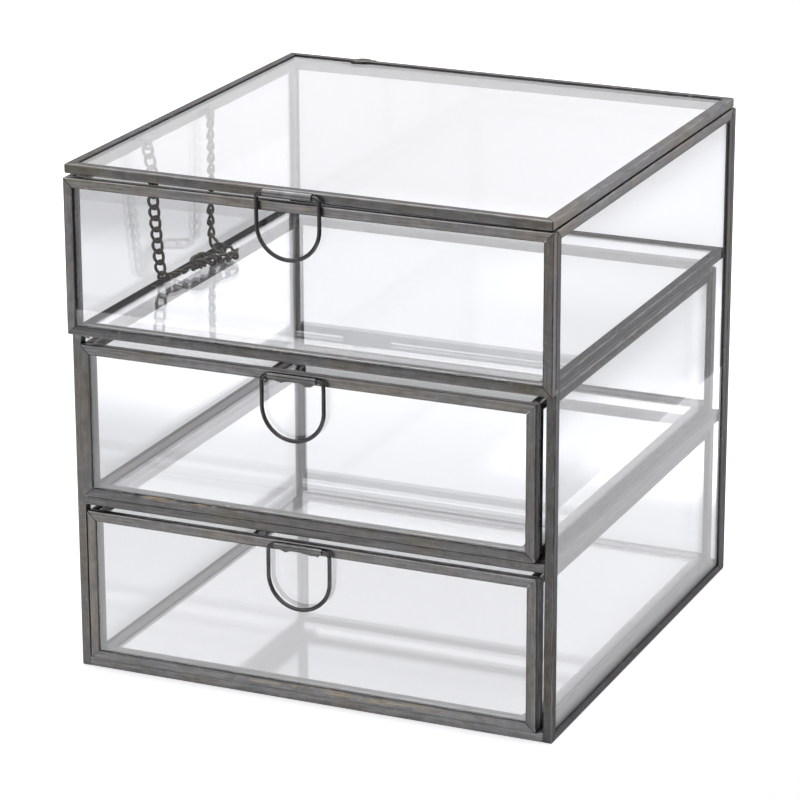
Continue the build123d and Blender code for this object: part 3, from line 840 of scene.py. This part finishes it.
def glow_behind(tree, x, y):
    """How bright the table behind the box is."""
    far = fade(tree, y, *FAR_Y)
    far_left = times(tree, fade(tree, y, *MIDWAY_Y), invert(tree, far), fade(tree, x, *MIDWAY_LEFT_X))
    far_left = calc(tree, "ADD", far_left, times(tree, far, fade(tree, x, *FAR_LEFT_X)))
    beyond_right = times(tree, fade(tree, x, *BEYOND_RIGHT_X), fade(tree, y, *BEYOND_RIGHT_Y))
    at_left = fade(tree, calc(tree, "MULTIPLY_ADD", x, AT_LEFT_SLANT, y), *AT_LEFT_REACH)
    at_right = times(tree, fade(tree, x, *AT_RIGHT_X), fade(tree, y, *AT_RIGHT_Y),
                     fade(tree, y, *AT_RIGHT_DEEPER), fade(tree, x, *AT_RIGHT_RIGHTWARD))
    return times(
        tree, fade(tree, y, *DEEPER), fade(tree, x, *RIGHTWARD), fade(tree, y, *FARTHEST),
        lift(tree, beyond_right, BEYOND_RIGHT_LIFT), lift(tree, at_left, AT_LEFT_LIFT),
        lift(tree, far_left, FAR_LEFT_LIFT), lift(tree, at_right, AT_RIGHT_LIFT))


def table_material():
    """White paint that glows by zones for the panes, so that they show and mirror a lit table."""
    material = bpy.data.materials.new("white_table")
    material.use_nodes = True
    material.cycles.emission_sampling = "NONE"
    tree = material.node_tree
    shader = tree.nodes["Principled BSDF"]
    shader.inputs["Base Color"].default_value = TABLE_COLOUR
    shader.inputs["Roughness"].default_value = TABLE_ROUGHNESS
    shader.inputs["Specular IOR Level"].default_value = 0.0
    place = tree.nodes.new("ShaderNodeTexCoord").outputs["Object"]
    x, y, _ = split_axes(tree, place)
    seen, clear, mirrored, rough = ray_kinds(tree)
    ahead = fade(tree, y, *AHEAD_Y)
    beside = times(tree, fade(tree, x, *BESIDE_X), invert(tree, ahead))
    under = times(tree, near(tree, calc(tree, "ABSOLUTE", x), *UNDER_X), near(tree, y, *UNDER_Y),
                  invert(tree, ahead))
    behind = invert(tree, calc(tree, "MAXIMUM", ahead, calc(tree, "MAXIMUM", beside, under)))
    ahead_glow = calc(tree, "MULTIPLY_ADD", mirrored, fade(tree, y, *MIRRORED_AHEAD), AHEAD_GLOW)
    glow = weigh(tree, (ahead_glow, ahead), (BESIDE_GLOW, beside), (UNDER_GLOW, under),
                 (glow_behind(tree, x, y), behind))
    seen_glow = fade(tree, length_of(tree, place), *SEEN_AROUND)
    lit = tree.nodes.new("ShaderNodeEmission")
    lit.inputs["Color"].default_value = TABLE_LIGHT
    plug(tree, weigh(tree, (seen_glow, seen), (glow, clear), (METAL_GLOW, rough)), lit.inputs["Strength"])
    both = tree.nodes.new("ShaderNodeAddShader")
    plug(tree, shader.outputs[0], both.inputs[0])
    plug(tree, lit.outputs[0], both.inputs[1])
    by_ray = tree.nodes.new("ShaderNodeMixShader")
    plug(tree, clear, by_ray.inputs[0])
    plug(tree, both.outputs[0], by_ray.inputs[1])
    plug(tree, lit.outputs[0], by_ray.inputs[2])
    plug(tree, by_ray.outputs[0], tree.nodes["Material Output"].inputs["Surface"])
    return material


def build_table():
    """The table top, a hair under the box."""
    mesh = bpy.data.meshes.new("table")
    corners = [(TABLE_LEFT, TABLE_FRONT, 0), (TABLE_RIGHT, TABLE_FRONT, 0),
               (TABLE_RIGHT, TABLE_BACK, 0), (TABLE_LEFT, TABLE_BACK, 0)]
    mesh.from_pydata(corners, [], [(0, 1, 2, 3)])
    mesh.materials.append(table_material())
    table = add_object("table", mesh)
    table.location.z = -TABLE_DROP


build_table()

# The surround by direction: where each part begins and where it is full, as parts of a unit arrow
HORIZON, OVERHEAD, KEY_RISE = (-0.02, 0.06), (0.45, 0.9), (0.1, 0.4)
TO_REAR, TO_FRONT, TO_FAR_REAR = (0.0, 0.35), (0.1, -0.3), (0.4, 0.75)
TO_RIGHT, A_LITTLE_RIGHT, NOT_RIGHT = (0.2, 0.6), (0.1, 0.35), (0.4, 0.0)
# How bright its parts are for the panes, then for the metal and for plain surfaces
LEVEL_GLOW, OVERHEAD_GLOW, BACKDROP_GLOW = 0.28, 0.9, 1.12
THROUGH_GLOW, RIGHT_SHADE = 0.62, -0.15
RIGHT_REAR_GLOW, IN_FRONT_GLOW, KEY_GLOW, PLAIN_GLOW = 1.7, 0.5, 0.9, 0.7
SURROUND_LIGHT, SEEN_WHITE = (0.985, 0.98, 1.0, 1), (1, 1, 1, 1)


def light_surround():
    """White for the camera, and lit by parts for glass and metal."""
    world = bpy.data.worlds.new("studio")
    bpy.context.scene.world = world
    world.use_nodes = True
    world.cycles.sampling_method = "NONE"
    tree = world.node_tree
    sky = tree.nodes["Background"]
    direction = tree.nodes.new("ShaderNodeTexCoord").outputs["Generated"]
    rightward, rearward, upward = split_axes(tree, direction)
    seen, clear, mirrored, rough = ray_kinds(tree)
    through = calc(tree, "SUBTRACT", clear, mirrored)
    plain = invert(tree, calc(tree, "MAXIMUM", seen, calc(tree, "MAXIMUM", clear, rough)))
    below = near(tree, upward, *HORIZON)
    backdrop = times(tree, fade(tree, rearward, *TO_REAR), fade(tree, upward, *HORIZON))
    overhead = fade(tree, upward, *OVERHEAD, LEVEL_GLOW, OVERHEAD_GLOW)
    around = calc(tree, "MULTIPLY_ADD", backdrop, BACKDROP_GLOW, overhead)
    at_right = times(tree, fade(tree, rightward, *TO_RIGHT), below)
    key = times(tree, fade(tree, upward, *KEY_RISE), fade(tree, rearward, *TO_FRONT))
    in_front = times(tree, fade(tree, rearward, *TO_FRONT), fade(tree, rightward, *NOT_RIGHT), below)
    right_rear = times(tree, fade(tree, rightward, *A_LITTLE_RIGHT),
                       fade(tree, rearward, *TO_FAR_REAR), below)
    on_metal = calc(tree, "ADD", around, weigh(
        tree, (RIGHT_REAR_GLOW, right_rear), (IN_FRONT_GLOW, in_front), (KEY_GLOW, key)))
    strength = weigh(
        tree, (1.0, seen), (around, clear), (times(tree, below, THROUGH_GLOW), through),
        (times(tree, at_right, RIGHT_SHADE), mirrored), (on_metal, rough), (PLAIN_GLOW, plain))
    plug(tree, mix(tree, seen, SURROUND_LIGHT, SEEN_WHITE), sky.inputs["Color"])
    plug(tree, strength, sky.inputs["Strength"])


def softbox(name, place, aim, size, power):
    """A rectangular lamp turned to what it lights, in metres and watts."""
    lamp = bpy.data.lights.new(name, "AREA")
    lamp.shape = "RECTANGLE"
    lamp.size, lamp.size_y = size
    lamp.energy = power
    holder = add_object(name, lamp)
    holder.location = place
    holder.rotation_euler = (Vector(aim) - Vector(place)).to_track_quat("-Z", "Y").to_euler()


light_surround()
softbox("overhead_softbox", place=(0.0, 0.35, 1.3), aim=(0, 0, 0.1), size=(1.2, 0.9), power=9.0)

# Camera, at the photograph's angle: the picture's width and the focal length are in its pixels
PHOTO_WIDTH, PHOTO_FOCAL_LENGTH = 800.0, 3650.514
CAMERA_TURN, CAMERA_RISE, CAMERA_ROLL = (math.radians(angle) for angle in (23.576, 18.444, -0.142))
CAMERA_OFFSET = mm(4.743, -88.792, -1498.886)
SENSOR_WIDTH = 36.0
NEAREST, FARTHEST_SEEN = 0.05, 50.0


def aim_camera():
    """A camera turned by the angles above, with the box so far off its line of sight."""
    back = Vector((math.sin(CAMERA_TURN) * math.cos(CAMERA_RISE),
                   -math.cos(CAMERA_TURN) * math.cos(CAMERA_RISE),
                   math.sin(CAMERA_RISE)))
    level = Vector((math.cos(CAMERA_TURN), math.sin(CAMERA_TURN), 0))
    steep = back.cross(level)
    right = math.cos(CAMERA_ROLL) * level + math.sin(CAMERA_ROLL) * steep
    up = math.cos(CAMERA_ROLL) * steep - math.sin(CAMERA_ROLL) * level
    turn = Matrix((right, up, back)).transposed()
    lens = bpy.data.cameras.new("camera")
    lens.sensor_fit = "HORIZONTAL"
    lens.sensor_width = SENSOR_WIDTH
    lens.lens = PHOTO_FOCAL_LENGTH / PHOTO_WIDTH * SENSOR_WIDTH
    lens.clip_start, lens.clip_end = NEAREST, FARTHEST_SEEN
    camera = add_object("camera", lens)
    camera.matrix_world = Matrix.Translation(turn @ -CAMERA_OFFSET) @ turn.to_4x4()
    bpy.context.scene.camera = camera


aim_camera()
bpy.context.scene.view_settings.view_transform = "Standard"
